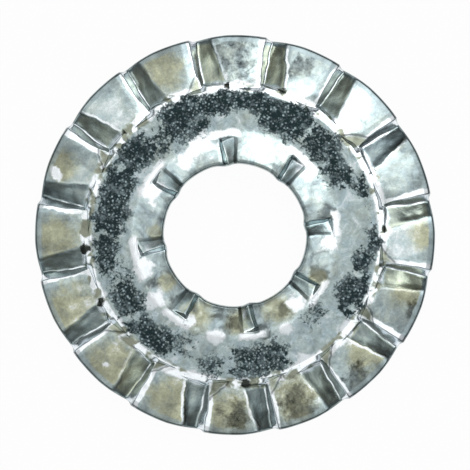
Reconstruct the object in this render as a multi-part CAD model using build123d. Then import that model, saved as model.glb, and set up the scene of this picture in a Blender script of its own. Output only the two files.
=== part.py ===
from build123d import *
from math import cos, hypot, radians, sin, tan
import os

# Toothed lock washer: one dished ring of spring steel with pressed ratchet teeth.
# The origin is on the bore axis, level with the lowest tooth edge. +Z runs up the bore
# axis, from the toothed rim to the raised inner edge. Lengths are in mm, angles in
# degrees, turned from +X towards +Y.

# Ring of sheet, one thickness throughout
outside_radius = 9.0
hole_radius = 3.2
sheet = 1.0
edge_round = 0.12

# Upper face from the hole outwards: sloping crown, nearly level shelf, steeper fold that
# the press leaves, sloping skirt
crown_slope = 13.0
crown_foot_radius = 4.7
crown_bend_radius = 5.0
shelf_slope = 1.5
shelf_bend_radius = 1.2
fold_slope = 13.5
fold_foot_radius = 6.86
fold_width = 0.44
skirt_slope = 9.0

# One ridge of the rim and one of the hole stand at this angle
ridge_angle = 12.4

# Rim teeth: notches pressed down from above and open at the rim, from just inside the
# fold's foot
rim_teeth = 16
rim_root_setback = 0.12
rim_root_depth = 0.33
rim_notch_depth = 0.48
rim_shoulder_run = 0.36
rim_shoulder_drop = 0.075
rim_wall_run = 0.36
rim_ramp_run = 0.85
rim_ramp_drop = 0.16
rim_rise_run = 0.2
rim_root_widening = 1.2

# Stepped outline of the rim: it draws in at each ridge and swells out again
rim_step = 0.1
rim_step_turn = 1.2
rim_swell_turn = 11.0

# Hole teeth: shorter notches, open at the hole, from just inside the crown's foot
hole_teeth = 8
hole_root_setback = 0.3
hole_root_depth = 0.2
hole_notch_depth = 0.3
hole_shoulder_run = 0.12
hole_shoulder_drop = 0.03
hole_wall_run = 0.2
hole_ramp_run = 0.62
hole_ramp_drop = 0.07
hole_rise_run = 0.12
hole_root_widening = 1.15

# Small lips where the pressed metal reaches into the hole
lip_radius = 0.5
lip_reach = 0.09
lip_turn = 1.5

# Every notch: plan run of the leaning end wall for each unit of its drop, share of the
# small drops that is left at the root, and spare length of the cutting shapes
end_lean = 0.6
root_share = 0.4
spare = 0.5

# Radii that follow from the bends
shelf_edge_radius = fold_foot_radius - fold_width
rim_root_radius = fold_foot_radius - rim_root_setback
hole_root_radius = crown_foot_radius - hole_root_setback

# Heights of the upper face over the lowest tooth edge
rim_height = sheet + rim_notch_depth
fold_foot_height = rim_height + (outside_radius - fold_foot_radius) * tan(radians(skirt_slope))
fold_drop = (fold_foot_radius - shelf_edge_radius) * tan(radians(fold_slope))
shelf_edge_height = fold_foot_height + fold_drop
shelf_rise = (shelf_edge_radius - crown_foot_radius) * tan(radians(shelf_slope))
crown_foot_height = shelf_edge_height + shelf_rise


def skirt_height(radius):
    return fold_foot_height - (radius - fold_foot_radius) * tan(radians(skirt_slope))


def crown_height(radius):
    return crown_foot_height + (crown_foot_radius - radius) * tan(radians(crown_slope))


def polar(radius, angle):
    return (radius * cos(radians(angle)), radius * sin(radians(angle)))


def around(count, angle, shape):
    return [Rot(0, 0, angle + turn * 360 / count) * shape for turn in range(count)]


# Everything under the upper face, between two radii
def dish(inner, outer):
    return Plane.XZ * make_face(
        Polyline(
            (inner, -sheet),
            (inner, crown_height(inner)),
            (crown_foot_radius, crown_foot_height),
            (shelf_edge_radius, shelf_edge_height),
            (fold_foot_radius, fold_foot_height),
            (outer, skirt_height(outer)),
            (outer, -sheet),
            close=True,
        )
    )


def bent(face):
    crown_foot = face.vertices().filter_by_position(
        Axis.X, crown_foot_radius, crown_foot_radius
    )
    face = fillet(crown_foot, crown_bend_radius)
    shelf_edge = face.vertices().filter_by_position(
        Axis.X, shelf_edge_radius, shelf_edge_radius
    )
    return fillet(shelf_edge, shelf_bend_radius)


# Cutting wedge of one notch along +X, its ridge on the axis and its ramp towards -Y.
# A shape lists the run and the drop of each bend, from the shoulder to the ramp's rise.
def wedge(root_radius, mouth_radius, surface, root, mouth):
    overrun = spare if mouth_radius > root_radius else -spare
    share = 1 + overrun / (mouth_radius - root_radius)
    end = [
        (near[0] + (far[0] - near[0]) * share, near[1] + (far[1] - near[1]) * share)
        for near, far in zip(root, mouth)
    ]
    top = max(surface(root_radius), surface(mouth_radius + overrun)) + spare

    def section(radius, lean, shape):
        level = [(run, surface(hypot(radius, run)) - drop) for run, drop in shape]
        loop = [(shape[0][0], top), *level, (shape[-1][0], top)]
        level_here = surface(radius)
        points = [(radius + lean * (level_here - z), y, z) for y, z in loop]
        return make_face(Polyline(*points, close=True))

    lean = end_lean if overrun > 0 else -end_lean
    return loft(
        [section(root_radius, lean, root), section(mouth_radius + overrun, 0, end)],
        ruled=True,
    )


def rim_wedge():
    mouth = [
        (rim_shoulder_run, 0),
        (0, rim_shoulder_drop),
        (-rim_wall_run, rim_notch_depth),
        (-rim_ramp_run, rim_ramp_drop),
        (-rim_ramp_run - rim_rise_run, 0),
    ]
    root = [
        (rim_shoulder_run, 0),
        (0, rim_shoulder_drop * root_share),
        (-rim_wall_run * root_share, rim_root_depth),
        (-rim_ramp_run * rim_root_widening, rim_ramp_drop * root_share),
        (-rim_ramp_run * rim_root_widening - rim_rise_run, 0),
    ]
    return wedge(rim_root_radius, outside_radius, skirt_height, root, mouth)


def hole_wedge():
    mouth = [
        (hole_shoulder_run, 0),
        (0, hole_shoulder_drop),
        (-hole_wall_run, hole_notch_depth),
        (-hole_ramp_run, hole_ramp_drop),
        (-hole_ramp_run - hole_rise_run, 0),
    ]
    root = [
        (hole_shoulder_run, 0),
        (0, hole_shoulder_drop * root_share),
        (-hole_wall_run * root_share, hole_root_depth),
        (-hole_ramp_run * hole_root_widening, hole_ramp_drop * root_share),
        (-hole_ramp_run * hole_root_widening - hole_rise_run, 0),
    ]
    return wedge(hole_root_radius, hole_radius, crown_height, root, mouth)


# Ring seen from above, with the stepped rim
def outline():
    pitch = 360 / rim_teeth
    edges = []
    for tooth in range(rim_teeth):
        ridge = ridge_angle - tooth * pitch
        drawn_in = polar(outside_radius - rim_step, ridge - rim_step_turn)
        halfway = ridge - (rim_step_turn + rim_swell_turn) / 2
        swelling = polar(outside_radius - rim_step / 3, halfway)
        full = polar(outside_radius, ridge - rim_swell_turn)
        crest = polar(outside_radius, ridge - (rim_swell_turn + pitch) / 2)
        edges += [
            Line(polar(outside_radius, ridge), drawn_in),
            ThreePointArc(drawn_in, swelling, full),
            ThreePointArc(full, crest, polar(outside_radius, ridge - pitch)),
        ]
    return make_face(Wire(edges))


notches = around(rim_teeth, ridge_angle, rim_wedge())
notches += around(hole_teeth, ridge_angle, hole_wedge())

profile = bent(dish(hole_radius, outside_radius))
corners = profile.vertices().group_by(Axis.X)
profile = fillet([corners[0][-1], corners[-1][-1]], edge_round)
lip_place = Pos(hole_radius - lip_reach + lip_radius, 0)
lip = extrude(lip_place * Circle(lip_radius), 2 * crown_height(0))
lips = around(hole_teeth, ridge_angle - lip_turn, lip)
core = revolve(bent(dish(hole_radius - spare, outside_radius - spare)), Axis.Z)
upper = (revolve(profile, Axis.Z) + (core & lips)) & extrude(outline(), 2 * crown_height(0))
lower = revolve(bent(dish(hole_radius - 2 * spare, outside_radius + spare)), Axis.Z)
washer = (upper - notches) - Pos(0, 0, -sheet) * (lower - notches)
washer = Pos(0, 0, -washer.bounding_box().min.Z) * washer

os.makedirs("parts", exist_ok=True)
export_step(washer, "parts/toothed_washer.step")
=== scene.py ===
from math import cos, exp, log1p, pi, radians, sin, tan

import bpy
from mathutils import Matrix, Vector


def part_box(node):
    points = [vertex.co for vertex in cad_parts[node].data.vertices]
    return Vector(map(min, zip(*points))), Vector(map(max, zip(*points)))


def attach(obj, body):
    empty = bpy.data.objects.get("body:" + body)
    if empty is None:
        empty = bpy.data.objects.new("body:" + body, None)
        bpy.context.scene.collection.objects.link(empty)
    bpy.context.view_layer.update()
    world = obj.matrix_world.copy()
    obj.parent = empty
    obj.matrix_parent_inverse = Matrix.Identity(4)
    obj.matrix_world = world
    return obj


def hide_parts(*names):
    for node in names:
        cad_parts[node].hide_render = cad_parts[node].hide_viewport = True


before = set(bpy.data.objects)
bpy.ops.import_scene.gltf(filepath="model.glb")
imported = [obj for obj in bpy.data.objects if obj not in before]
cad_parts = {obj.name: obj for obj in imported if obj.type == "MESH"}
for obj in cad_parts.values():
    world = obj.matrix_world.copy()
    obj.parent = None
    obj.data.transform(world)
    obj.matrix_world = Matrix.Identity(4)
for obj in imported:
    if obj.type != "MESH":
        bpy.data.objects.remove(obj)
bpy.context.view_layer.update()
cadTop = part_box("toothed_washer")[1].z
mm = 0.001  # metres


class Term:
    # a socket of a node tree; maths written on it adds the nodes
    def __init__(self, nodes, socket):
        self.nodes = nodes
        self.socket = socket

    def math(self, operation, *others):
        return self.nodes.add("ShaderNodeMath", {"operation": operation}, [self, *others])

    def __add__(self, other):
        return self.math("ADD", other)

    def __radd__(self, other):
        return self.math("ADD", other)

    def __sub__(self, other):
        return self.math("SUBTRACT", other)

    def __rsub__(self, other):
        return self.nodes.add("ShaderNodeMath", {"operation": "SUBTRACT"}, [other, self])

    def __mul__(self, other):
        return self.math("MULTIPLY", other)

    def __rmul__(self, other):
        return self.math("MULTIPLY", other)

    def __truediv__(self, other):
        return self.math("DIVIDE", other)

    def __rtruediv__(self, other):
        return self.nodes.add("ShaderNodeMath", {"operation": "DIVIDE"}, [other, self])

    def __neg__(self):
        return self.math("MULTIPLY", -1.0)

    def clamp(self):
        return self.math("MAXIMUM", 0.0).math("MINIMUM", 1.0)

    def step(self, low, high):
        # smooth rise from 0 at low to 1 at high
        settings = {"interpolation_type": "SMOOTHSTEP"}
        values = {"Value": self, "From Min": low, "From Max": high}
        return self.nodes.add("ShaderNodeMapRange", settings, values)

    def between(self, low, high, soft):
        # 1 from low to high, with soft ends
        return (self - low).step(-soft, soft) * (1 - (self - high).step(-soft, soft))


class Nodes:
    def __init__(self, tree):
        self.tree = tree

    def add(self, kind, settings=None, values=None, out=0):
        node = self.tree.nodes.new(kind)
        for name, value in (settings or {}).items():
            setattr(node, name, value)
        pairs = values.items() if isinstance(values, dict) else enumerate(values or [])
        for name, value in pairs:
            socket = node.inputs[name]
            if isinstance(value, Term):
                self.tree.links.new(value.socket, socket)
            else:
                socket.default_value = value
        return Term(self, node.outputs[out])

    def curve(self, value, points):
        # straight lines between points, as a Float Curve over 0 to 1
        node = self.tree.nodes.new("ShaderNodeFloatCurve")
        line = node.mapping.curves[0]
        line.points[0].location = points[0]
        line.points[1].location = points[-1]
        for point in points[1:-1]:
            line.points.new(*point)
        for point in line.points:
            point.handle_type = "VECTOR"
        node.mapping.update()
        self.tree.links.new(value.socket, node.inputs["Value"])
        return Term(self, node.outputs[0])

    def ramp(self, value, stops):
        # colour of a Color Ramp through the stops, each a place from 0 to 1 and a colour
        node = self.tree.nodes.new("ShaderNodeValToRGB")
        marks = node.color_ramp.elements
        marks.remove(marks[-1])
        for i, (place, colour) in enumerate(stops):
            mark = marks[0] if i == 0 else marks.new(place)
            mark.position = place
            mark.color = (*colour, 1)
        self.tree.links.new(value.socket, node.inputs[0])
        return Term(self, node.outputs[0])

    def split(self, vector):
        node = self.tree.nodes.new("ShaderNodeSeparateXYZ")
        self.tree.links.new(vector.socket, node.inputs[0])
        return [Term(self, node.outputs[i]) for i in range(3)]


# lengths in mm, angles in degrees
washer = {
    "outsideRadius": 8.995,
    "holeRadius": 3.2,
    "sheet": 1.0,
    "topGap": 0.004,  # left under the top of the CAD box
    # upper face from the hole outwards
    "crownSlope": 13.0,
    "crownFootRadius": 4.7,
    "shelfSlope": 1.5,
    "shelfMiddleRadius": 5.6,
    "shelfEdgeRadius": 6.42,
    "foldSlope": 13.5,
    "foldDrop": 0.036,
    "skirtSlope": 9.0,
    # roundings of the bends, the upper edges and the lower ones
    "crownRound": 0.01,
    "foldRound": 0.004,
    "edgeRound": 0.13,
    "burrRound": 0.05,
    # lines of the mesh along the section, and the radii they crowd at
    "topLines": 76,
    "topCrowds": [4.3, 6.5, 6.7, 6.85],
    "undersideLines": 32,
    "undersideCrowds": [4.3, 6.7],
    "edgeLines": 6,
    "burrLines": 3,
    "wallLines": 4,
    "pathRadius": 1.0,  # of the circle that the section is swept round
    "rimTeeth": 16,
    "holeTeeth": 8,
    # ridge angles as the press left them, anticlockwise from +X
    "rimRidges": [
        12.0, 36.0, 58.5, 81.0, 103.5, 125.5, 147.5, 171.0,
        193.5, 216.0, 238.5, 261.0, 283.0, 305.0, 327.5, 350.0,
    ],
    "holeRidges": [10.0, 54.0, 100.0, 147.5, 193.0, 239.5, 284.0, 329.5],
    "straySpan": 16,  # degrees between the ends of the stray curves' scale
    # between these radii the hole's ridges give way to the rim's
    "holeRidgesTo": 4.7,
    "rimRidgesFrom": 6.3,
    "rimNotch": {
        "rootRadius": 6.74, "mouthRadius": 9.0, "rootDepth": 0.33, "depth": 0.48,
        "shoulderRun": 0.36, "shoulderDrop": 0.075, "wallRun": 0.36, "rootWallRun": 0.16,
        "rampRun": 0.85, "rampDrop": 0.16, "riseRun": 0.12, "fadeDrop": 0.05, "fadeRun": 1.25,
        "widening": 1.2, "endLean": 0.5, "rootShare": 0.4,
    },
    "holeNotch": {
        "rootRadius": 4.4, "mouthRadius": 3.2, "rootDepth": 0.2, "depth": 0.3,
        "shoulderRun": 0.12, "shoulderDrop": 0.03, "wallRun": 0.2, "rootWallRun": 0.12,
        "rampRun": 0.62, "rampDrop": 0.07, "riseRun": 0.1, "fadeDrop": 0.02, "fadeRun": 0.85,
        "widening": 1.15, "endLean": 0.9, "rootShare": 0.5,
    },
    # how far a notch's taper runs on past its ends, and how its slopes round into each other
    "overrun": 0.3,
    "notchRounds": {"ridge": 0.03, "brink": 0.02, "foot": 0.015, "end": 0.03},
    # flat at a tooth's inner corner: a point on it, the way it faces, and its end by the root
    "corner": {
        "along": 0.09, "radius": 7.5, "facingAlong": 0.74, "facingInward": 0.67,
        "rootRadius": 6.55, "rootSlope": 0.7, "rootRound": 0.02, "brinkRound": 0.01,
        "reach": 0.3, "fadeRun": 0.25,
    },
    # stepped rim: it draws in over the first turn after a ridge, and swells out to the second
    "rimStepTurn": 1.2,
    "rimSwellTurn": 11.0,
    "rimStepRound": 0.15,
    "rimStepFrom": 7.2,
    # lips that reach into the hole: how far behind the ridge, half width, and where they end
    "lipAside": 0.08,
    "lipHalf": 0.3,
    "lipTo": 4.0,
    "wanderPerMm": 0.8,  # how often the tool's edges wander
    "leastUneven": 0.1,  # of unevenPress, that every tooth lacks
    # what the press does all round the washer: inputs of the node tree
    "press": {
        "divisions": 704,
        "ridgeCrowding": 0.72,
        "unevenPress": 0.2,
        "pressSeed": 7,
        "rimStep": 0.1,
        "lipReach": 0.09,
        "cornerSlope": 0.2,
        "wander": 0.26,
        "dent": 0.01,
        "dentSize": 0.9,
    },
}
rimPitch = 360 / washer["rimTeeth"]
holePitch = 360 / washer["holeTeeth"]
rimPerHole = washer["rimTeeth"] / washer["holeTeeth"]


def softMax(a, b, width):
    # larger of two numbers with a rounded crossing
    return max(a, b) + width * log1p(exp(-abs(a - b) / width))


def upperFace(radius):
    # height of the sheet's top: crown, shelf, the pressed fold, skirt
    v = washer
    past = v["shelfEdgeRadius"] - radius
    shelf = past * tan(radians(v["shelfSlope"]))
    fold = past * tan(radians(v["foldSlope"]))
    skirt = past * tan(radians(v["skirtSlope"])) - v["foldDrop"]
    if radius < v["shelfMiddleRadius"]:
        foot = (v["shelfEdgeRadius"] - v["crownFootRadius"]) * tan(radians(v["shelfSlope"]))
        crown = foot + (v["crownFootRadius"] - radius) * tan(radians(v["crownSlope"]))
        return softMax(shelf, crown, v["crownRound"])
    return -softMax(-shelf, -softMax(fold, skirt, v["foldRound"]), v["foldRound"])


def spread(low, high, count, crowds):
    # radii from low to high, closer together near each radius in crowds
    fineSteps, sparse, nearby = 2000, 0.35, 0.22
    steps = [low + (high - low) * i / fineSteps for i in range(fineSteps + 1)]
    weight = [sparse + sum(exp(-(((r - d) / nearby) ** 2)) for d in crowds) for r in steps]
    total = sum(weight)
    picked, run, target = [], 0.0, 0
    for r, w in zip(steps, weight):
        run += w
        while run >= total * (target + 0.5) / count and target < count:
            picked.append(r)
            target += 1
    return picked


def quarter(lines):
    # angles that divide a quarter turn, in radians
    return [radians(90 * i / lines) for i in range(lines + 1)]


def sectionLoop():
    # closed section: top from hole to rim, rim wall, underside back, hole wall
    v = washer
    inner, outer = v["holeRadius"], v["outsideRadius"]
    edge, burr, walls = v["edgeRound"], v["burrRound"], v["wallLines"]
    holeTop, rimTop = upperFace(inner + edge) - edge, upperFace(outer - edge) - edge
    holeFoot = upperFace(inner + burr) - v["sheet"] + burr
    rimFoot = upperFace(outer - burr) - v["sheet"] + burr
    loop = []
    for a in quarter(v["edgeLines"])[:-1]:
        loop.append((inner + edge - edge * cos(a), holeTop + edge * sin(a)))
    for r in spread(inner + edge, outer - edge, v["topLines"], v["topCrowds"]):
        loop.append((r, upperFace(r)))
    for a in quarter(v["edgeLines"]):
        loop.append((outer - edge + edge * sin(a), rimTop + edge * cos(a)))
    loop += [(outer, rimTop + (rimFoot - rimTop) * i / walls) for i in range(1, walls)]
    for a in quarter(v["burrLines"]):
        loop.append((outer - burr + burr * cos(a), rimFoot - burr * sin(a)))
    for r in reversed(spread(inner + burr, outer - burr, v["undersideLines"], v["undersideCrowds"])):
        loop.append((r, upperFace(r) - v["sheet"]))
    for a in quarter(v["burrLines"]):
        loop.append((inner + burr - burr * sin(a), holeFoot - burr * cos(a)))
    loop += [(inner, holeFoot + (holeTop - holeFoot) * i / walls) for i in range(1, walls)]
    return loop


def namedInputs(tree, sizes):
    for name, value in sizes.items():
        kind = "NodeSocketInt" if isinstance(value, int) else "NodeSocketFloat"
        socket = tree.interface.new_socket(name, in_out="INPUT", socket_type=kind)
        socket.default_value = value


def pressNotch(size, radius, along, uneven):
    # drop of the sheet at a radius and a distance along from the ridge line
    past, rounds = washer["overrun"], washer["notchRounds"]
    share = (radius - size["rootRadius"]) / (size["mouthRadius"] - size["rootRadius"])
    share = share.math("MAXIMUM", -past).math("MINIMUM", 1 + past)

    def grow(root, mouth):
        return (mouth - root) * share + root

    rootShare = size["rootShare"]
    depth = grow(size["rootDepth"], size["depth"]) * uneven
    shoulder = grow(size["shoulderDrop"] * rootShare, size["shoulderDrop"])
    wall = grow(size["rootWallRun"], size["wallRun"])
    ramp = grow(size["rampRun"] * size["widening"], size["rampRun"])
    rampDrop = grow(size["rampDrop"] * rootShare, size["rampDrop"])
    fadeDrop = grow(size["fadeDrop"] * rootShare, size["fadeDrop"])
    fade = grow(size["fadeRun"] * size["widening"], size["fadeRun"])
    back = -along
    onShoulder = shoulder * (1 - along / size["shoulderRun"])
    onWall = shoulder + back * (depth - shoulder) / wall
    onRamp = depth - (back - wall) * (depth - rampDrop) / (ramp - wall)
    onRise = rampDrop - (back - ramp) * (rampDrop - fadeDrop) / size["riseRun"]
    onFade = 1 - (back - ramp - size["riseRun"]) / (fade - ramp - size["riseRun"])
    onFade = fadeDrop * onFade
    lip = onShoulder.math("SMOOTH_MAX", onWall, rounds["ridge"])
    lip = lip.math("SMOOTH_MAX", 0.0, rounds["brink"])
    rise = onRamp.math("SMOOTH_MIN", onRise, rounds["brink"])
    rise = rise.math("SMOOTH_MAX", onFade, rounds["brink"])
    rise = rise.math("SMOOTH_MAX", 0.0, rounds["brink"])
    outward = 1 if size["mouthRadius"] > size["rootRadius"] else -1
    end = (radius - size["rootRadius"]) * (outward / size["endLean"])
    end = end.math("SMOOTH_MAX", 0.0, rounds["end"])
    drop = lip.math("SMOOTH_MIN", rise, rounds["foot"])
    return drop.math("SMOOTH_MIN", end, rounds["end"]).math("MAXIMUM", 0.0)


def cornerFlat(radius, along, slope):
    # drop of the flat at the inner corner of each tooth, ahead of the ridge
    c = washer["corner"]
    inside = (c["along"] - along) * c["facingAlong"] + (c["radius"] - radius) * c["facingInward"]
    end = (radius - c["rootRadius"]) * c["rootSlope"]
    drop = (inside * slope).math("SMOOTH_MIN", end, c["rootRound"]).math("MAXIMUM", 0.0)
    return drop * (along + c["reach"]).step(0.0, c["fadeRun"])


def trimmedRadius(radius, rimTurn, holeAlong, size):
    # stepped rim, and a lip at each tooth of the hole
    v = washer
    behind = -rimTurn * rimPitch
    swell = (v["rimSwellTurn"] - behind) / (v["rimSwellTurn"] - v["rimStepTurn"])
    drawn = (behind / v["rimStepTurn"]).math("SMOOTH_MIN", swell, v["rimStepRound"])
    drawn = drawn.math("MAXIMUM", 0.0) * size["rimStep"]
    trimmed = radius - drawn * radius.step(v["rimStepFrom"], v["rimNotch"]["mouthRadius"])
    lip = (holeAlong + v["lipAside"]) / v["lipHalf"]
    lip = (lip * lip * -1.0).math("EXPONENT") * size["lipReach"]
    return trimmed - lip * (1 - radius.step(v["holeRadius"], v["lipTo"]))


def offsets(ridges):
    # how far each ridge strays from even spacing, over the turn: 0.5 is no stray, and 0 and 1
    # are half of straySpan either way
    count = len(ridges)
    points = []
    for i in range(count + 1):
        ridge = ridges[i % count] + (360 if i == count else 0)
        stray = ridge - ridges[0] - i * 360 / count
        points.append((i / count, 0.5 + stray / washer["straySpan"]))
    return points


def strayedAngle(n, phase, radius):
    # angle in radians with each ridge turned to its own place
    v = washer
    even = phase * rimPitch
    turn = phase / v["rimTeeth"]

    def strayed(ridges):
        return even + ridges[0] + (n.curve(turn, offsets(ridges)) - 0.5) * v["straySpan"]

    rimAngle, holeAngle = strayed(v["rimRidges"]), strayed(v["holeRidges"])
    outward = radius.step(v["holeRidgesTo"], v["rimRidgesFrom"])
    return (holeAngle + (rimAngle - holeAngle) * outward) * (pi / 180)


def washerTree():
    v = washer
    tree = bpy.data.node_groups.new("pressedWasher", "GeometryNodeTree")
    tree.interface.new_socket("Section", in_out="INPUT", socket_type="NodeSocketGeometry")
    tree.interface.new_socket("Washer", in_out="OUTPUT", socket_type="NodeSocketGeometry")
    namedInputs(tree, {**v["press"], "lift": 0.0})
    tree.interface.new_socket("finish", in_out="INPUT", socket_type="NodeSocketMaterial")
    n = Nodes(tree)
    given = tree.nodes.new("NodeGroupInput")
    size = {socket.name: Term(n, socket) for socket in given.outputs if socket.name}
    section = n.add("GeometryNodeMeshToCurve", None, {"Mesh": size["Section"]})
    circle = {"Resolution": size["divisions"], "Radius": v["pathRadius"]}
    path = n.add("GeometryNodeCurvePrimitiveCircle", None, circle)
    ring = n.add("GeometryNodeCurveToMesh", None, {"Curve": path, "Profile Curve": section})
    x, y, z = n.split(n.add("GeometryNodeInputPosition"))
    radius = (x * x + y * y).math("SQRT")
    turn = (y.math("ARCTAN2", x) / (2 * pi)).math("WRAP", 1.0, 0.0)

    # crowd the mesh lines at the ridges: phase counts teeth round the even pattern
    phase = turn * v["rimTeeth"]
    wave = (phase * (2 * pi)).math("SINE")
    phase = phase - wave * size["ridgeCrowding"] / (2 * pi)
    angle = strayedAngle(n, phase, radius)
    east, north = angle.math("COSINE"), angle.math("SINE")
    where = n.add("ShaderNodeCombineXYZ", None, [east * radius, north * radius, 0.0])

    # signed distance from the nearest ridge; the tool's edges wander a little on each tooth
    wander = n.add("ShaderNodeTexNoise", {"noise_dimensions": "2D"}, {
        "Vector": where, "Scale": v["wanderPerMm"], "Detail": 2.0, "Roughness": 0.5,
    }, out=1)
    wanderX, wanderY = [(part - 0.5) * size["wander"] for part in n.split(wander)[:2]]
    rimTurn = phase.math("WRAP", 0.5, -0.5)
    holeTurn = (phase / rimPerHole).math("WRAP", 0.5, -0.5)
    rimAlong = rimTurn * radians(rimPitch) * radius + wanderX
    holeAlong = holeTurn * radians(holePitch) * radius + wanderX
    bent = radius + wanderY

    # a press depth drawn for each tooth
    rimTooth = (phase + 0.5).math("FLOOR")
    draw = {"ID": rimTooth, "Seed": size["pressSeed"]}
    vary = n.add("FunctionNodeRandomValue", {"data_type": "FLOAT"}, draw, out=1)
    uneven = 1 - (vary + v["leastUneven"]) * size["unevenPress"]
    drop = pressNotch(v["rimNotch"], bent, rimAlong, uneven)
    drop = drop + pressNotch(v["holeNotch"], bent, holeAlong, 1.0)
    corner = cornerFlat(bent, rimAlong, size["cornerSlope"])
    drop = drop.math("SMOOTH_MAX", corner, v["corner"]["brinkRound"])

    # long shallow dents left by the press
    dents = n.add("ShaderNodeTexNoise", {"noise_dimensions": "2D"}, {
        "Vector": where, "Scale": 1 / size["dentSize"], "Detail": 2.0, "Roughness": 0.45,
    })
    height = z - drop + (dents - 0.5) * size["dent"] * 2 + size["lift"]
    trimmed = trimmedRadius(radius, rimTurn, holeAlong, size)
    moved = n.add("ShaderNodeCombineXYZ", None, [east * trimmed, north * trimmed, height])

    # the finish reads each point's place in the even pattern of teeth, and which way it faces
    _, _, up = n.split(n.add("GeometryNodeInputNormal"))
    evenAngle = phase * radians(rimPitch)
    evenX, evenY = evenAngle.math("COSINE"), evenAngle.math("SINE")
    evenPlace = n.add("ShaderNodeCombineXYZ", None, [evenX, evenY, up])
    kept = {"Geometry": ring, "Name": "evenPlace", "Value": evenPlace}
    kinds = {"data_type": "FLOAT_VECTOR", "domain": "POINT"}
    ring = n.add("GeometryNodeStoreNamedAttribute", kinds, kept)
    ring = n.add("GeometryNodeSetPosition", None, {"Geometry": ring, "Position": moved})
    ring = n.add("GeometryNodeTransform", None, {"Geometry": ring, "Scale": (mm, mm, mm)})
    ring = n.add("GeometryNodeSetShadeSmooth", None, {"Geometry": ring})
    ring = n.add("GeometryNodeRealizeInstances", None, {"Geometry": ring})
    ring = n.add("GeometryNodeSetMaterial", None, {"Geometry": ring, "Material": size["finish"]})
    done = tree.nodes.new("NodeGroupOutput")
    tree.links.new(ring.socket, done.inputs[0])
    return tree


def setInput(modifier, name, value):
    for item in modifier.node_group.interface.items_tree:
        if item.item_type == "SOCKET" and item.in_out == "INPUT" and item.name == name:
            modifier[item.identifier] = value


def pressWasher(finish):
    v = washer
    loop = sectionLoop()
    points = [(r - v["pathRadius"], -z, 0.0) for r, z in loop]
    edges = [(i, (i + 1) % len(points)) for i in range(len(points))]
    section = bpy.data.meshes.new("washerSection")
    section.from_pydata(points, edges, [])
    maker = bpy.data.objects.new("washerMaker", section)
    bpy.context.scene.collection.objects.link(maker)
    modifier = maker.modifiers.new("press", "NODES")
    modifier.node_group = washerTree()
    lift = cadTop / mm - max(z for r, z in loop) - v["topGap"]
    for name, value in {**v["press"], "lift": lift, "finish": finish}.items():
        setInput(modifier, name, value)
    seen = maker.evaluated_get(bpy.context.evaluated_depsgraph_get())
    mesh = bpy.data.meshes.new_from_object(seen)
    mesh.name = "lockWasher"
    piece = bpy.data.objects.new("lockWasher", mesh)
    bpy.context.scene.collection.objects.link(piece)
    bpy.data.objects.remove(maker)
    print("washer:", len(mesh.vertices), "points,", len(mesh.polygons), "faces")
    return piece


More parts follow.
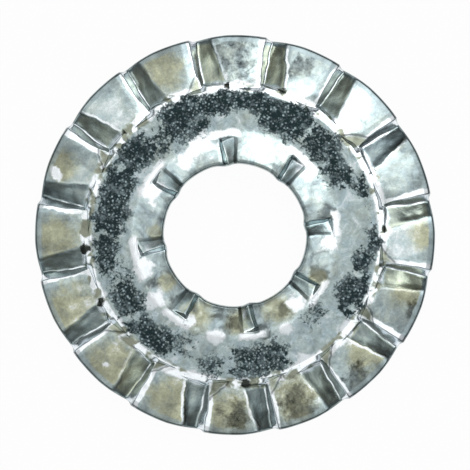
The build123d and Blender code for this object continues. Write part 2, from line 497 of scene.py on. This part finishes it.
# the finish: brightness and shares from 0 to 1, places in mm from the middle of the washer, and
# turns in degrees clockwise
zinc = {
    "pale": (0.70, 0.86, 0.90, 1),
    # colour of the painted highlights
    "highlight": (0.92, 0.97, 1.0, 1),
    "olive": (0.71, 0.74, 0.53, 1),
    "slate": (0.025, 0.042, 0.046, 1),
    "dot": (0.44, 0.54, 0.57, 1),
    # dark of the painted shade in the notches' back corners
    "pitShadeColour": (0.035, 0.04, 0.035, 1),
    "roughness": 0.18,
    "mottleRoughness": 0.12,  # how far mottle strays from it
    "patchRoughness": 0.38,  # more than the rest
    # relief in mm
    "dentHeight": 0.03,
    "mottleHeight": 0.008,
    "grainHeight": 0.0015,
    "patchHeight": 0.004,
    # brightness of each zone, from the hole outwards
    "crown": 0.58,
    "shelf": 0.68,
    # painted highlight on the fold, painted shade in its gaps
    "fold": 0.95,
    "foldGap": 0.33,
    "toothFoot": 0.66,
    "tooth": 0.56,
    "toothRim": 0.46,
    # painted shade in the rim band and on the ramps, painted reflection on the walls
    "rimBand": 0.4,
    "wall": 0.95,
    "ramp": 0.6,
    "rampRoot": 0.42,
    # the same where each tooth draws its own: the least, and how much more it may be
    # painted light and shade, drawn tooth by tooth
    "rampDraw": (0.6, 0.8),
    "rimBandDraw": (0.5, 0.5),
    "cornerDraw": (0.3, 0.6),
    "holeWallDraw": (0.3, 0.6),
    "holeRampDraw": (0.5, 0.4),
    "holeEndDraw": (0.1, 0.3),
    # how much the teeth differ, and which way they happen to fall
    "variety": 0.5,
    "seed": 3.0,
    "draws": 50,  # between one set of draws and the next
    # noises
    "grainPerMm": 8.5,
    "dotPerMm": 6.5,
    "mottlePerMm": 2.2,
    "dentPerMm": 0.9,
    "streaksRound": 8.0,
    "streaksOut": 0.35,
    # how far they carry the edges of zones off: degrees round, mm out, and teeth
    "turnWander": 11.0,
    "wornWander": 0.3,
    "toothWander": 0.11,
    # the normal's z, where the marks of the upper side come in
    "upStarts": (-0.4, -0.1),
    # radii between which each zone comes in or ends, and the fold's softness
    "holeShade": (3.3, 3.42),
    "holeNotchEnds": (4.3, 4.42),
    "holeFoot": (4.42, 4.75, 0.06),
    "crownEnds": (4.35, 4.75),
    "foldPlace": (6.4, 6.9, 0.09),
    "cornerStarts": (6.5, 6.62),
    "cornerMiddle": 6.97,
    "toothStarts": (6.85, 7.05),
    "rampPales": (7.2, 7.9),
    "toothFootEnds": (7.15, 7.65),
    "toothRimStarts": (8.1, 8.6),
    "rimBandStarts": (8.66, 8.74),
    "rimShade": (8.84, 8.9),
    "pitPlace": (6.72, 0.34),  # middle and half width
    # turns after the nearest ridge between which each part lies, and their softness
    "wallTurns": (0.0, 2.1, 0.2),
    "rampSoft": 0.2,
    "rampEnd": 5.5,
    "rampEndPerMm": 1.95,  # more towards the root
    "rampLine": (0.3, 0.15),  # half width and softness
    "shineTo": 1.1,
    # a painted highlight in a stripe before each ridge
    "highlightRim": (0.8, 1.2, 0.3),  # least width, how much more, softness
    "underNotch": (-1.0, 9.0, 2.0),
    "cornerTurns": (-8.5, 0.0, 0.4),
    "holeWallTurns": (0.0, 2.6, 0.3),
    "holeRampTurns": (2.6, 9.0, 0.3),
    "holeEndTurns": (9.0, 11.4, 0.3),
    "holeFootTurns": (-4.0, 12.0, 2.0),
    "pitTurns": (11.0, 8.0, 3.0),  # middle, how far it strays, half width
    # flats at the inner corners: the draws that have one, their edge and their crease in mm
    "cornerDraws": (0.25, 0.35),
    "cornerEdge": (-0.02, 0.12),
    "creaseShade": (-0.07, 0.02, 0.03),
    # how strongly each of these marks shows
    "creaseShadeShare": 0.6,
    "rampLineShare": 0.6,
    "darkenedShare": 0.6,
    "paleSheenShare": 0.5,
    "paleSheenTorn": 0.7,
    "yellowingAndWarmCastShare": 0.8,
    "yellowingAndWarmCastTorn": 0.4,
    "rimShadeShare": 0.4,
    "holeShadeShare": 0.35,
    # painted highlights along the fold: their noise's edge, and how much a tooth and a notch move it
    "foldGlintEdge": (-0.02, 0.09),
    "foldGlintTooth": 0.1,
    "foldGlintNotch": 0.06,
    # edges of a patch round, inwards and outwards, and how ragged each is
    "patchEdges": [(-3.0, 5.0), (-0.4, 0.35), (-0.25, 0.2)],
    "patchRagged": [20.0, 1.4, 1.2],
    "speckleEdge": (0.1, 0.9),
    "dotEdge": (0.05, 0.45),
    # edge of a mark in half widths, and how much ragged and marble tear it
    "markEdge": (0.45, 1.2),
    "markTorn": (2.5, 1.5),
    # dark rough patches on the shelf: from and to in degrees clockwise from +Y, inner and outer
    # radius, and how thick the specks stand
    "patches": [
        (-15, 16, 5.4, 6.5, 1.0), (12, 34, 4.8, 6.5, 1.0), (37, 52, 4.8, 6.3, 0.9),
        (50, 66, 4.7, 6.0, 1.0), (64, 72, 5.6, 6.4, 1.0), (74, 79, 5.9, 6.3, 0.6),
        (86, 98, 5.8, 6.5, 1.0), (97, 107, 5.3, 6.3, 1.0), (108, 123, 5.2, 6.5, 1.0),
        (128, 143, 4.5, 5.5, 0.65), (156, 182, 4.9, 6.4, 0.9), (185, 193, 5.4, 6.4, 0.9),
        (200, 214, 4.7, 6.0, 0.65), (210, 232, 5.2, 6.4, 1.0), (232, 246, 4.9, 6.3, 1.0),
        (244, 257, 4.7, 6.1, 0.6), (254, 270, 5.3, 6.4, 1.0), (270, 301, 4.9, 6.4, 1.0),
        (300, 318, 5.0, 6.4, 1.0), (315, 328, 4.6, 5.9, 0.8), (327, 345, 4.7, 6.5, 1.0),
    ],
    # marks placed where they show: degrees clockwise from +Y, radius and half width.
    # Painted highlights (glints) first
    "bright": [
        (15, 4.1, 0.5), (48, 4.3, 0.5), (94, 4.2, 0.5), (138, 4.0, 0.4), (152, 4.7, 0.4),
        (192, 4.6, 0.4), (209, 4.4, 0.35), (231, 4.6, 0.5), (250, 4.4, 0.5), (297, 4.2, 0.6),
        (325, 4.0, 0.4), (340, 4.3, 0.6), (130, 6.5, 0.35), (151, 6.4, 0.4), (289, 8.5, 0.3),
        (225, 8.2, 0.16),
    ],
    # broad places painted paler, a painted sheen on the teeth
    "paleSheen": [
        (42, 8.0, 1.1), (68, 7.8, 1.0), (92, 7.6, 1.0), (314, 7.9, 1.1), (290, 7.4, 0.7),
        (25, 7.3, 0.6),
    ],
    # places painted darker, as painted shade
    "darkened": [
        (0, 8.1, 1.2), (12, 8.3, 0.7), (22, 8.1, 0.7), (113, 8.6, 0.4), (140, 8.6, 0.8),
        (160, 8.2, 1.2), (180, 8.2, 0.8), (32, 4.5, 0.3), (34, 3.6, 0.3), (76, 4.3, 0.4),
        (115, 4.2, 0.45), (147, 4.0, 0.4), (163, 4.5, 0.4), (179, 3.9, 0.45), (190, 3.6, 0.4),
        (218, 3.9, 0.5), (240, 4.3, 0.3), (264, 3.9, 0.4), (310, 3.8, 0.4), (352, 4.2, 0.3),
    ],
    # places tinted olive: partly the plating's own tint, partly a painted warm reflection
    "yellowingAndWarmCast": [
        (60, 8.2, 0.5), (90, 8.4, 0.7), (107, 8.2, 1.0), (130, 7.9, 1.2), (160, 7.8, 1.3),
        (182, 8.0, 1.3), (200, 8.0, 1.4), (223, 8.0, 1.4), (245, 8.0, 1.4), (268, 8.0, 1.3),
        (292, 8.4, 0.8), (336, 8.0, 1.1), (118, 4.2, 0.5), (150, 3.9, 0.8), (178, 3.9, 0.7),
        (205, 4.0, 0.8), (235, 3.7, 0.5), (272, 3.6, 0.4),
    ],
}


def ownShade(draw, chance):
    # what one tooth draws: the least, and a share of what may come on top
    least, more = draw
    return least + chance * more


def fade(level, target, share):
    return level + (target - level) * share


class Plating:
    # places and noises that the parts of the finish share
    def __init__(self, nodes):
        v = zinc
        self.nodes = nodes
        place = nodes.add("ShaderNodeTexCoord", out=3)
        inMm = {"Vector": place, "Scale": 1 / mm}
        self.place = nodes.add("ShaderNodeVectorMath", {"operation": "SCALE"}, inMm)
        x, y, _ = nodes.split(self.place)
        self.flatPlace = nodes.add("ShaderNodeCombineXYZ", None, [x, y, 0.0])
        self.radius = (x * x + y * y).math("SQRT")
        east = x / self.radius * v["streaksRound"]
        north = y / self.radius * v["streaksRound"]
        outward = self.radius * v["streaksOut"]
        streaked = nodes.add("ShaderNodeCombineXYZ", None, [east, north, outward])
        self.wander = self.noise(1.3, 3.0, 0.6)
        self.ragged = self.noise(1.7, 3.0, 0.6)
        self.grain = self.noise(v["grainPerMm"], 2.0, 0.6)
        self.streak = self.noise(1.6, 4.0, 0.6, at=streaked)
        self.mottle = self.noise(v["mottlePerMm"], 4.0, 0.6, 0.4)
        self.blotch = self.noise(0.9, 3.0, 0.55, 1.2)
        self.marble = self.noise(1.3, 4.0, 0.6, 1.6)
        self.turn = x.math("ARCTAN2", y) * (180 / pi) + self.wander * v["turnWander"]
        self.worn = self.radius + self.noise(2.0, 3.0, 0.6) * v["wornWander"]
        # what the node tree of the washer left on each point
        pattern = nodes.add("ShaderNodeAttribute", {"attribute_name": "evenPlace"}, out=1)
        self.evenX, self.evenY, up = nodes.split(pattern)
        self.onTop = up.step(*v["upStarts"])

    def noise(self, perMm, detail, roughness=0.5, distortion=0.0, at=None):
        # noise centred on zero
        return self.nodes.add("ShaderNodeTexNoise", None, {
            "Vector": at or self.place, "Scale": perMm, "Detail": detail,
            "Roughness": roughness, "Distortion": distortion,
        }) - 0.5

    def mixed(self, share, one, other):
        kinds = {"data_type": "RGBA"}
        return self.nodes.add("ShaderNodeMix", kinds, {0: share, 6: one, 7: other}, out=2)

    def chance(self, number, seed):
        # three numbers from 0 to 1 that belong to one tooth
        kinds = {"noise_dimensions": "1D"}
        drawn = self.nodes.add("ShaderNodeTexWhiteNoise", kinds, {"W": number + seed}, out=1)
        return self.nodes.split(drawn)

    def arcs(self, rows):
        # full inside each patch, thinning out over a ragged border
        aroundEdge, innerEdge, outerEdge = zinc["patchEdges"]
        aroundRagged, innerRagged, outerRagged = [self.ragged * far for far in zinc["patchRagged"]]
        total = 0.0
        for start, end, inner, outer, thick in rows:
            aside = (self.turn - (start + end) / 2).math("WRAP", 180.0, -180.0).math("ABSOLUTE")
            aside = aside - (end - start) / 2 + aroundRagged
            inside = 1 - aside.step(*aroundEdge)
            inside = inside * (self.radius - inner + innerRagged).step(*innerEdge)
            inside = inside * (outer - self.radius + outerRagged).step(*outerEdge) * thick
            total = inside.math("MAXIMUM", total)
        return total * self.onTop

    def spots(self, marks, torn=1.0):
        # full in the middle of each mark, fading out in a more or less torn edge
        ragged, marble = zinc["markTorn"]
        nearest = 9.0  # in half widths, past the edge of any mark
        for angle, far, half in marks:
            centre = (far * sin(radians(angle)), far * cos(radians(angle)), 0.0)
            kinds = {"operation": "DISTANCE"}
            off = self.nodes.add("ShaderNodeVectorMath", kinds, [self.flatPlace, centre], out=1)
            nearest = (off / half).math("MINIMUM", nearest)
        edge = nearest + (self.ragged * ragged + self.marble * marble) * torn
        return self.onTop * (1 - edge.step(*zinc["markEdge"]))


def toothDraws(plate):
    # place in the even pattern, and what each tooth draws by its number
    v = zinc
    count, holeCount = float(washer["rimTeeth"]), float(washer["holeTeeth"])
    perRadian = washer["rimTeeth"] / (2 * pi)
    teeth = plate.evenY.math("ARCTAN2", plate.evenX) * -perRadian
    teeth = teeth + plate.wander * v["toothWander"]
    tooth = teeth.math("WRAP", count, 0.0).math("FLOOR")
    holeTooth = ((teeth + rimPerHole / 2) / rimPerHole).math("WRAP", holeCount, 0.0).math("FLOOR")
    own = {"since": teeth.math("WRAP", 0.5, -0.5) * rimPitch}
    own["holeSince"] = (teeth / rimPerHole).math("WRAP", 0.5, -0.5) * holePitch
    draws = [
        (tooth, ["tone", "rampTone", "foldTone"]),
        (tooth, ["edgeWidth", "cornerSize", "cornerTone"]),
        (tooth, ["lineTone", "rimTone", "pitSize"]),
        (holeTooth, ["holeWall", "holeRamp", "holeEnd"]),
    ]
    for i, (number, names) in enumerate(draws):
        own.update(zip(names, plate.chance(number, v["seed"] + i * v["draws"])))
    return own


def toothParts(plate, own):
    # where each zone and each part of a tooth lies, from 0 to 1
    v = zinc
    since, holeSince = own["since"], own["holeSince"]
    tooth = plate.worn.step(*v["toothStarts"])
    inHole = 1 - plate.worn.step(*v["holeNotchEnds"])
    wallTo = v["wallTurns"][1]
    rampEnd = (washer["rimNotch"]["mouthRadius"] - plate.radius) * v["rampEndPerMm"] + v["rampEnd"]
    half, soft = v["rampLine"]
    at = {
        "tooth": tooth,
        "fold": (plate.worn + plate.ragged * 0.5).between(*v["foldPlace"]),
        "crown": 1 - (plate.worn + plate.ragged * 0.7).step(*v["crownEnds"]),
        "wall": since.between(*v["wallTurns"]) * tooth,
        "ramp": since.between(wallTo, rampEnd, v["rampSoft"]) * tooth,
        "rampLine": since.between(rampEnd - half, rampEnd + half, soft) * tooth,
        "shine": since.between(rampEnd + half, rampEnd + v["shineTo"], v["rampSoft"]) * tooth,
        "underNotch": (since + plate.ragged * 6.0).between(*v["underNotch"]),
        "holeWall": holeSince.between(*v["holeWallTurns"]) * inHole,
        "holeRamp": holeSince.between(*v["holeRampTurns"]) * inHole,
        "holeEnd": holeSince.between(*v["holeEndTurns"]) * inHole,
    }
    # painted highlight at the foot of each hole notch
    holeFoot = (holeSince + plate.ragged * 8.0).between(*v["holeFootTurns"])
    at["holeFoot"] = holeFoot * (plate.worn + plate.ragged * 0.3).between(*v["holeFoot"])
    # painted shade: a darker band just inside the rim
    band = (plate.radius + plate.ragged * 0.15).step(*v["rimBandStarts"])
    at["rimBand"] = band * ownShade(v["rimBandDraw"], own["rimTone"]) * (1 - at["wall"])

    # inner corner of some teeth, painted in shade, and the crease that bounds it, painted as a
    # darker line
    c = washer["corner"]
    hasCorner = own["cornerSize"].step(*v["cornerDraws"])
    inward = v["cornerMiddle"] + own["cornerSize"] * 0.5 - plate.worn - plate.ragged * 0.15
    along = since * plate.radius * (pi / 180)
    inside = along * c["facingAlong"] + inward * c["facingInward"]
    nearRidge = since.between(*v["cornerTurns"]) * plate.radius.step(*v["cornerStarts"])
    nearRidge = nearRidge * hasCorner
    at["creaseShade"] = inside.between(*v["creaseShade"]) * nearRidge
    at["corner"] = inside.step(*v["cornerEdge"]) * nearRidge
    return at


def toothTile(plate, own, darkened):
    # brightness of the flat of a tooth
    v = zinc
    tile = fade(v["tooth"], v["toothRim"], plate.worn.step(*v["toothRimStarts"]))
    tile = fade(v["toothFoot"], tile, (plate.worn + plate.ragged * 0.4).step(*v["toothFootEnds"]))
    tile = tile * (1 + (own["tone"] - 0.5) * v["variety"])
    specks = (plate.mottle * 1.6 + plate.grain * 1.2) * (0.55 + darkened)
    return tile * (1 + plate.blotch * 0.9 + plate.streak + specks).math("MAXIMUM", 0.2)


def brightness(plate, own, at, highlight, glint):
    # zones, then painted highlights and shade at edges, and marks
    v = zinc
    mottle, streak, marble = plate.mottle, plate.streak, plate.marble
    level = v["shelf"] * (1 + marble * 1.6 + plate.grain * 0.5)
    # the fold: painted highlight in beads, painted shade in the gaps between
    level = fade(level, fade(v["foldGap"], v["fold"], at["beads"]), at["fold"])
    # painted shade: listed places made darker, with stronger mottle on the teeth
    darkened = plate.spots(v["darkened"])
    level = fade(level, toothTile(plate, own, darkened), at["tooth"])
    # painted highlights at full brightness
    level = fade(level, 1, highlight.clamp())
    # painted shade on the corner flat, and a darker painted line along its crease
    corner = ownShade(v["cornerDraw"], own["cornerTone"]) * (1 + mottle * 1.6 + streak)
    level = fade(level, corner, at["corner"])
    level = level * (1 - at["creaseShade"] * v["creaseShadeShare"])
    level = fade(level, v["crown"] * (1 + plate.blotch * 1.6 + marble * 2.0), at["crown"])
    level = level * (1 - darkened * (1 - highlight.clamp()) * v["darkenedShare"])
    # painted sheen: broad paler places on the teeth
    paleSheen = plate.spots(v["paleSheen"], v["paleSheenTorn"])
    level = level + (1 - level) * paleSheen * v["paleSheenShare"]
    level = fade(level, 1, glint)
    # painted shade: each notch's ramp dark, darker towards its root
    ramp = v["ramp"] + (v["rampRoot"] - v["ramp"]) * (1 - plate.radius.step(*v["rampPales"]))
    ramp = ramp * ownShade(v["rampDraw"], own["rampTone"]) * (1 + streak * 2.6 + mottle)
    # painted reflection: the notch walls pale
    level = fade(level, v["wall"] + streak * 0.8, at["wall"])
    level = fade(level, ramp, at["ramp"])
    # painted light and shade on the wall, ramp and end of each hole notch
    level = fade(level, ownShade(v["holeWallDraw"], own["holeWall"]), at["holeWall"])
    holeRamp = ownShade(v["holeRampDraw"], own["holeRamp"]) * (1 + mottle * 1.4)
    level = fade(level, holeRamp, at["holeRamp"])
    level = fade(level, ownShade(v["holeEndDraw"], own["holeEnd"]), at["holeEnd"])
    # painted shade line at each ramp's end
    level = level * (1 - at["rampLine"] * own["lineTone"] * v["rampLineShare"])
    level = fade(level, v["rimBand"] + streak * 0.8, at["rimBand"])
    level = level * (1 - plate.radius.step(*v["rimShade"]) * v["rimShadeShare"])
    byHole = v["holeShadeShare"]
    level = level * (1 - byHole + plate.radius.step(*v["holeShade"]) * byHole)
    # the underside is plain plating
    plain = v["shelf"] * (1 + marble * 0.8 + plate.grain * 0.5)
    return fade(plain, level, plate.onTop)


def platingColour(plate, own, at):
    # pale or olive plating, with painted highlights in white, shaded by its brightness
    v = zinc
    edge, more, soft = v["highlightRim"]
    # painted highlight: a stripe on each ridge's shoulder, and a shine past each ramp's end
    highlight = own["since"].between(-edge - own["edgeWidth"] * more - plate.streak, 0.0, soft)
    highlight = highlight * at["tooth"]
    highlight = highlight + at["shine"] * own["lineTone"] * 0.8
    # painted highlights: the listed glints and the feet of the hole notches
    glint = plate.spots(v["bright"]).math("MAXIMUM", at["holeFoot"])
    level = brightness(plate, own, at, highlight, glint)
    # olive: partly the plating's own tint, partly painted warm reflection
    olive = plate.spots(v["yellowingAndWarmCast"], v["yellowingAndWarmCastTorn"]) * v["yellowingAndWarmCastShare"]
    olive = (olive + 0.15 + plate.blotch + plate.mottle * 0.6).clamp()
    # the painted shade on the ramps is olive and streaked
    olive = fade(olive, own["rampTone"] * 0.9 + plate.streak, at["ramp"])
    olive = fade(olive, (1 - at["beads"]) * 0.8, at["fold"])
    olive = olive * (1 - at["wall"]) * (1 - at["holeWall"]) * (1 - at["rimBand"])
    olive = fade(olive, 0.75, at["corner"]) * plate.onTop
    # painted highlights: glints, the fold's beads, the walls and the brightest places turn white
    highlight = highlight + glint * (1 - at["holeEnd"]) + at["fold"] * at["beads"]
    highlight = highlight + at["wall"] * 0.6 + level.step(0.7, 1.0)
    highlight = highlight.clamp() * (1 - at["ramp"]) * (1 - at["corner"]) * plate.onTop
    colour = plate.mixed(highlight, plate.mixed(olive, v["pale"], v["olive"]), v["highlight"])
    level = level.clamp()
    shade = plate.nodes.add("ShaderNodeCombineColor", None, [level, level, level])
    kinds = {"data_type": "RGBA", "blend_type": "MULTIPLY"}
    return plate.nodes.add("ShaderNodeMix", kinds, {0: 1.0, 6: colour, 7: shade}, out=2)


def darkSpecks(plate):
    # colour of the dark patches, slate with paler dots in it
    v = zinc
    cells = {"Vector": plate.place, "Scale": v["dotPerMm"], "Randomness": 1.0}
    dots = plate.nodes.add("ShaderNodeTexVoronoi", None, cells)
    dots = (1 - dots.step(*v["dotEdge"])) * (plate.noise(2.6, 2.0) + 0.32).clamp() * 3.0
    dots = dots + plate.noise(3.4, 2.0, 0.6) * 1.8 + plate.grain * 1.2
    return plate.mixed(dots.clamp(), v["slate"], v["dot"])


def pitShade(plate, own):
    # painted shade: dark spots at the back corner of each notch
    middle, stray, half = zinc["pitTurns"]
    far, halfWide = zinc["pitPlace"]
    aside = (own["since"] - middle + (own["pitSize"] - 0.5) * stray) / half
    off = (plate.worn - far) / halfWide
    pits = own["pitSize"] * 0.7 - aside * aside - off * off + (plate.mottle + plate.ragged) * 1.6
    return pits.step(0.0, 0.4) * plate.onTop


def zincPlate():
    v = zinc
    material = bpy.data.materials.new("zincPlate")
    material.use_nodes = True
    n = Nodes(material.node_tree)
    shader = material.node_tree.nodes["Principled BSDF"]
    plate = Plating(n)
    own = toothDraws(plate)
    at = toothParts(plate, own)
    # painted highlights in beads along the fold's bend, thicker under the notches
    beads = plate.noise(1.6, 2.0, 0.5, 0.5) + own["foldTone"] * v["foldGlintTooth"]
    beads = beads + at["underNotch"] * v["foldGlintNotch"]
    at["beads"] = beads.step(*v["foldGlintEdge"])
    colour = platingColour(plate, own, at)
    # patches that thin out into specks
    speckle = plate.arcs(v["patches"]) * 1.45 - 0.37 + plate.grain * 2.4 + plate.ragged * 0.4
    speckle = speckle.step(*v["speckleEdge"])
    colour = plate.mixed(speckle, colour, darkSpecks(plate))
    # painted shade in the notches' back corners
    colour = plate.mixed(pitShade(plate, own), colour, v["pitShadeColour"])
    n.tree.links.new(colour.socket, shader.inputs["Base Color"])
    shader.inputs["Metallic"].default_value = 1.0
    roughness = v["roughness"] + plate.mottle * v["mottleRoughness"]
    roughness = roughness + speckle * v["patchRoughness"]
    n.tree.links.new(roughness.socket, shader.inputs["Roughness"])

    # shallow dents, mottle and grain
    height = plate.noise(v["dentPerMm"], 2.0) * v["dentHeight"]
    height = height + plate.mottle * v["mottleHeight"]
    height = height + plate.grain * (v["grainHeight"] + speckle * v["patchHeight"])
    bump = n.add("ShaderNodeBump", None, {"Height": height, "Distance": mm, "Strength": 1.0})
    n.tree.links.new(bump.socket, shader.inputs["Normal"])
    print("finish:", len(material.node_tree.nodes), "nodes")
    return material


# the studio: lengths in metres, angles in degrees
studioSizes = {
    # angle off straight up, and the colour of the dome there
    "domeStops": [
        (0, (0.62, 0.64, 0.66)), (6, (0.74, 0.76, 0.78)), (12, (0.76, 0.77, 0.77)),
        (21, (0.80, 0.80, 0.78)), (24, (0.95, 0.95, 0.95)), (27, (1.4, 1.4, 1.4)),
        (32, (1.4, 1.4, 1.4)), (36, (0.80, 0.84, 0.86)), (42, (0.60, 0.66, 0.69)),
        (48, (0.28, 0.30, 0.30)), (56, (0.15, 0.155, 0.15)), (71, (0.15, 0.155, 0.15)),
        (78, (0.5, 0.56, 0.6)), (90, (0.62, 0.68, 0.72)), (180, (0.6, 0.62, 0.64)),
    ],
    # how much brighter towards +X and +Y
    "fromRight": 0.1,
    "fromTop": 0.15,
    "evenWithin": 0.06,  # of a half turn off straight up
    # the low half of the dome is brighter towards this turn, anticlockwise from +X
    "lowTurn": 220,
    "lowShare": 0.45,
    "lowStarts": (0.25, 0.33),  # of a half turn off straight up
    # the lamp: far off, degrees anticlockwise from +X, degrees above the floor, watts
    "lampFar": 0.16,
    "lampTurn": 60,
    "lampRise": 60,
    "lampSize": 0.08,
    "lampPower": 0.02,
    "floorHalf": 0.3,
    "floorColour": (0.92, 0.92, 0.92, 1),
    "floorGlow": 0.96,
    "lens": 200,  # mm, as the sensor
    "sensor": 36,
    "pictureWidth": 0.02138,
}


def studioFloor():
    # pale floor, evenly bright to the camera and in reflections
    v = studioSizes
    mesh = bpy.data.meshes.new("floor")
    half = v["floorHalf"]
    corners = [(-half, -half, 0), (half, -half, 0), (half, half, 0), (-half, half, 0)]
    mesh.from_pydata(corners, [], [(0, 1, 2, 3)])
    floor = bpy.data.objects.new("floor", mesh)
    bpy.context.scene.collection.objects.link(floor)
    pale = bpy.data.materials.new("paleFloor")
    pale.use_nodes = True
    n = Nodes(pale.node_tree)
    path = pale.node_tree.nodes.new("ShaderNodeLightPath")
    kinds = ["Is Camera Ray", "Is Glossy Ray", "Is Transmission Ray"]
    rays = [Term(n, path.outputs[kind]) for kind in kinds]
    seen = rays[0].math("MAXIMUM", rays[1]).math("MAXIMUM", rays[2])
    glow = n.add("ShaderNodeEmission", None, {"Color": (1, 1, 1, 1), "Strength": 1.0})
    matte = n.add("ShaderNodeBsdfDiffuse", None, {"Color": v["floorColour"]})
    mixed = n.add("ShaderNodeMixShader", None, [seen * v["floorGlow"], matte, glow])
    surface = pale.node_tree.nodes["Material Output"].inputs[0]
    pale.node_tree.links.new(mixed.socket, surface)
    mesh.materials.append(pale)


def studioWorld():
    # a dome that is brightest in a ring overhead
    v = studioSizes
    world = bpy.data.worlds.new("studio")
    bpy.context.scene.world = world
    world.use_nodes = True
    n = Nodes(world.node_tree)
    aim = n.add("ShaderNodeTexCoord", out=0)
    x, y, z = n.split(aim)
    off = z.math("ARCCOSINE") / pi
    dome = n.ramp(off, [(angle / 180, colour) for angle, colour in v["domeStops"]])
    aside = (x * v["fromRight"] + y * v["fromTop"]) / off.math("MAXIMUM", v["evenWithin"])
    level = 1 + aside / pi
    flat = (x * x + y * y).math("SQRT").math("MAXIMUM", 0.01)
    turn = radians(v["lowTurn"])
    towards = (x * cos(turn) + y * sin(turn)) / flat
    level = level + towards * off.step(*v["lowStarts"]) * v["lowShare"]
    back = world.node_tree.nodes["Background"]
    world.node_tree.links.new(dome.socket, back.inputs[0])
    world.node_tree.links.new(level.socket, back.inputs[1])


def studioLamp():
    v = studioSizes
    lamp = bpy.data.lights.new("softLamp", "AREA")
    lamp.energy = v["lampPower"]
    lamp.size = v["lampSize"]
    holder = bpy.data.objects.new("softLamp", lamp)
    bpy.context.scene.collection.objects.link(holder)
    far, turn, rise = v["lampFar"], radians(v["lampTurn"]), radians(v["lampRise"])
    holder.location = (far * cos(rise) * cos(turn), far * cos(rise) * sin(turn), far * sin(rise))
    holder.rotation_euler = (pi / 2 - rise, 0, turn + pi / 2)


def studioCamera():
    # looks straight down, with +Y up in the picture
    v = studioSizes
    camera = bpy.data.cameras.new("camera")
    camera.lens = v["lens"]
    camera.sensor_width = v["sensor"]
    camera.clip_start = mm
    viewer = bpy.data.objects.new("camera", camera)
    bpy.context.scene.collection.objects.link(viewer)
    viewer.location = (0, 0, v["pictureWidth"] * v["lens"] / v["sensor"])
    bpy.context.scene.camera = viewer
    bpy.context.scene.view_settings.view_transform = "Standard"


def studio():
    studioFloor()
    studioWorld()
    studioLamp()
    studioCamera()
    print("studio: floor, dome, lamp, camera")


finish = zincPlate()
piece = pressWasher(finish)
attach(piece, "root")
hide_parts("toothed_washer")
studio()
